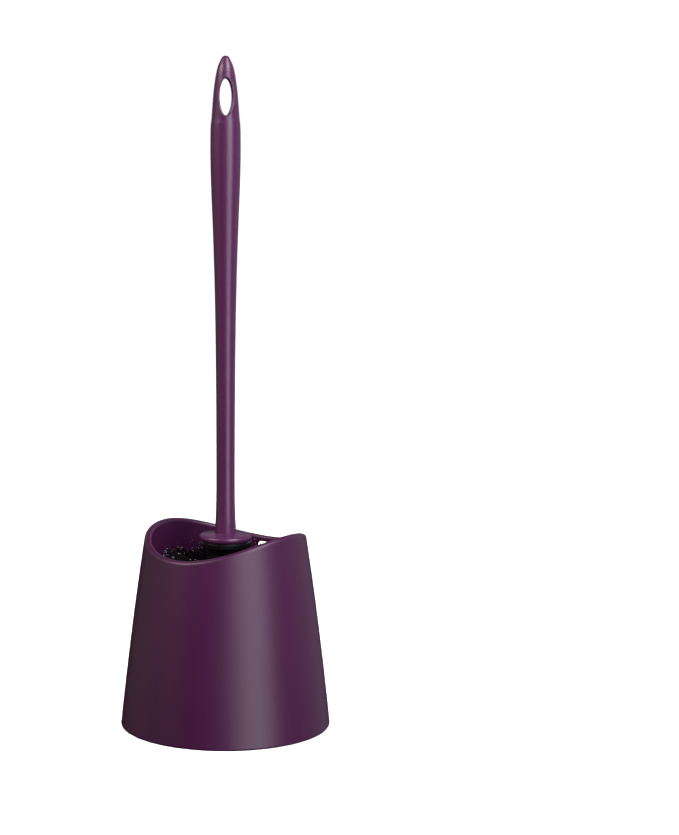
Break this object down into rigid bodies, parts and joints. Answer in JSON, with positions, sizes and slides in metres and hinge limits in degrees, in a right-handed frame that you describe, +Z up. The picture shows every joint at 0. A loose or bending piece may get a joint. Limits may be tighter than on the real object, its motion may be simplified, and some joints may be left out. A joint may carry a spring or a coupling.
{
  "type": "toilet brush and holder",
  "caption": "Toilet brush with a slim one-piece handle and a round bristle head, standing in a conical holder with a saddle-shaped rim and a drip tray.",
  "frame": {"origin": "centre of the round base, on the surface that the holder stands on", "axes": "+Z up along the handle and the cone's axis; the handle's hang hole looks along Y, turned 3.5 degrees; +X to the right seen from the front (-Y)"},
  "size_m": [0.1206, 0.1206, 0.381],
  "materials": {
    "purple_plastic": "satin moulded",
    "handle_plastic": "satin moulded",
    "tray_plastic": "matte moulded",
    "black_plastic": "smooth moulded",
    "bristles": "extruded filament",
    "anchor_steel": "flat wire"
  },
  "bodies": {
    "holder": {"holder_shell": "purple_plastic", "drip_tray": "tray_plastic"},
    "brush_head": {"brush_hub": "black_plastic", "tuft_anchors": "anchor_steel", "bristle_ring_1": "bristles", "bristle_ring_2": "bristles", "bristle_ring_3": "bristles", "bristle_ring_4": "bristles", "bristle_ring_5": "bristles", "bristle_ring_6": "bristles", "bristle_ring_7": "bristles", "bristle_ring_8": "bristles", "bristle_crown": "bristles", "bristle_end": "bristles"},
    "handle": {"handle": "handle_plastic"}
  },
  "joints": [
    {"name": "brush_lift", "type": "slide", "parent": "holder", "child": "brush_head", "axis": [0, 0, 1], "range_m": [0, 0.15]},
    {"name": "handle_unscrew", "type": "hinge", "parent": "brush_head", "child": "handle", "pos_m": [0, 0, 0.1], "axis": [0, 0, 1], "range_deg": [0, 990]}
  ]
}
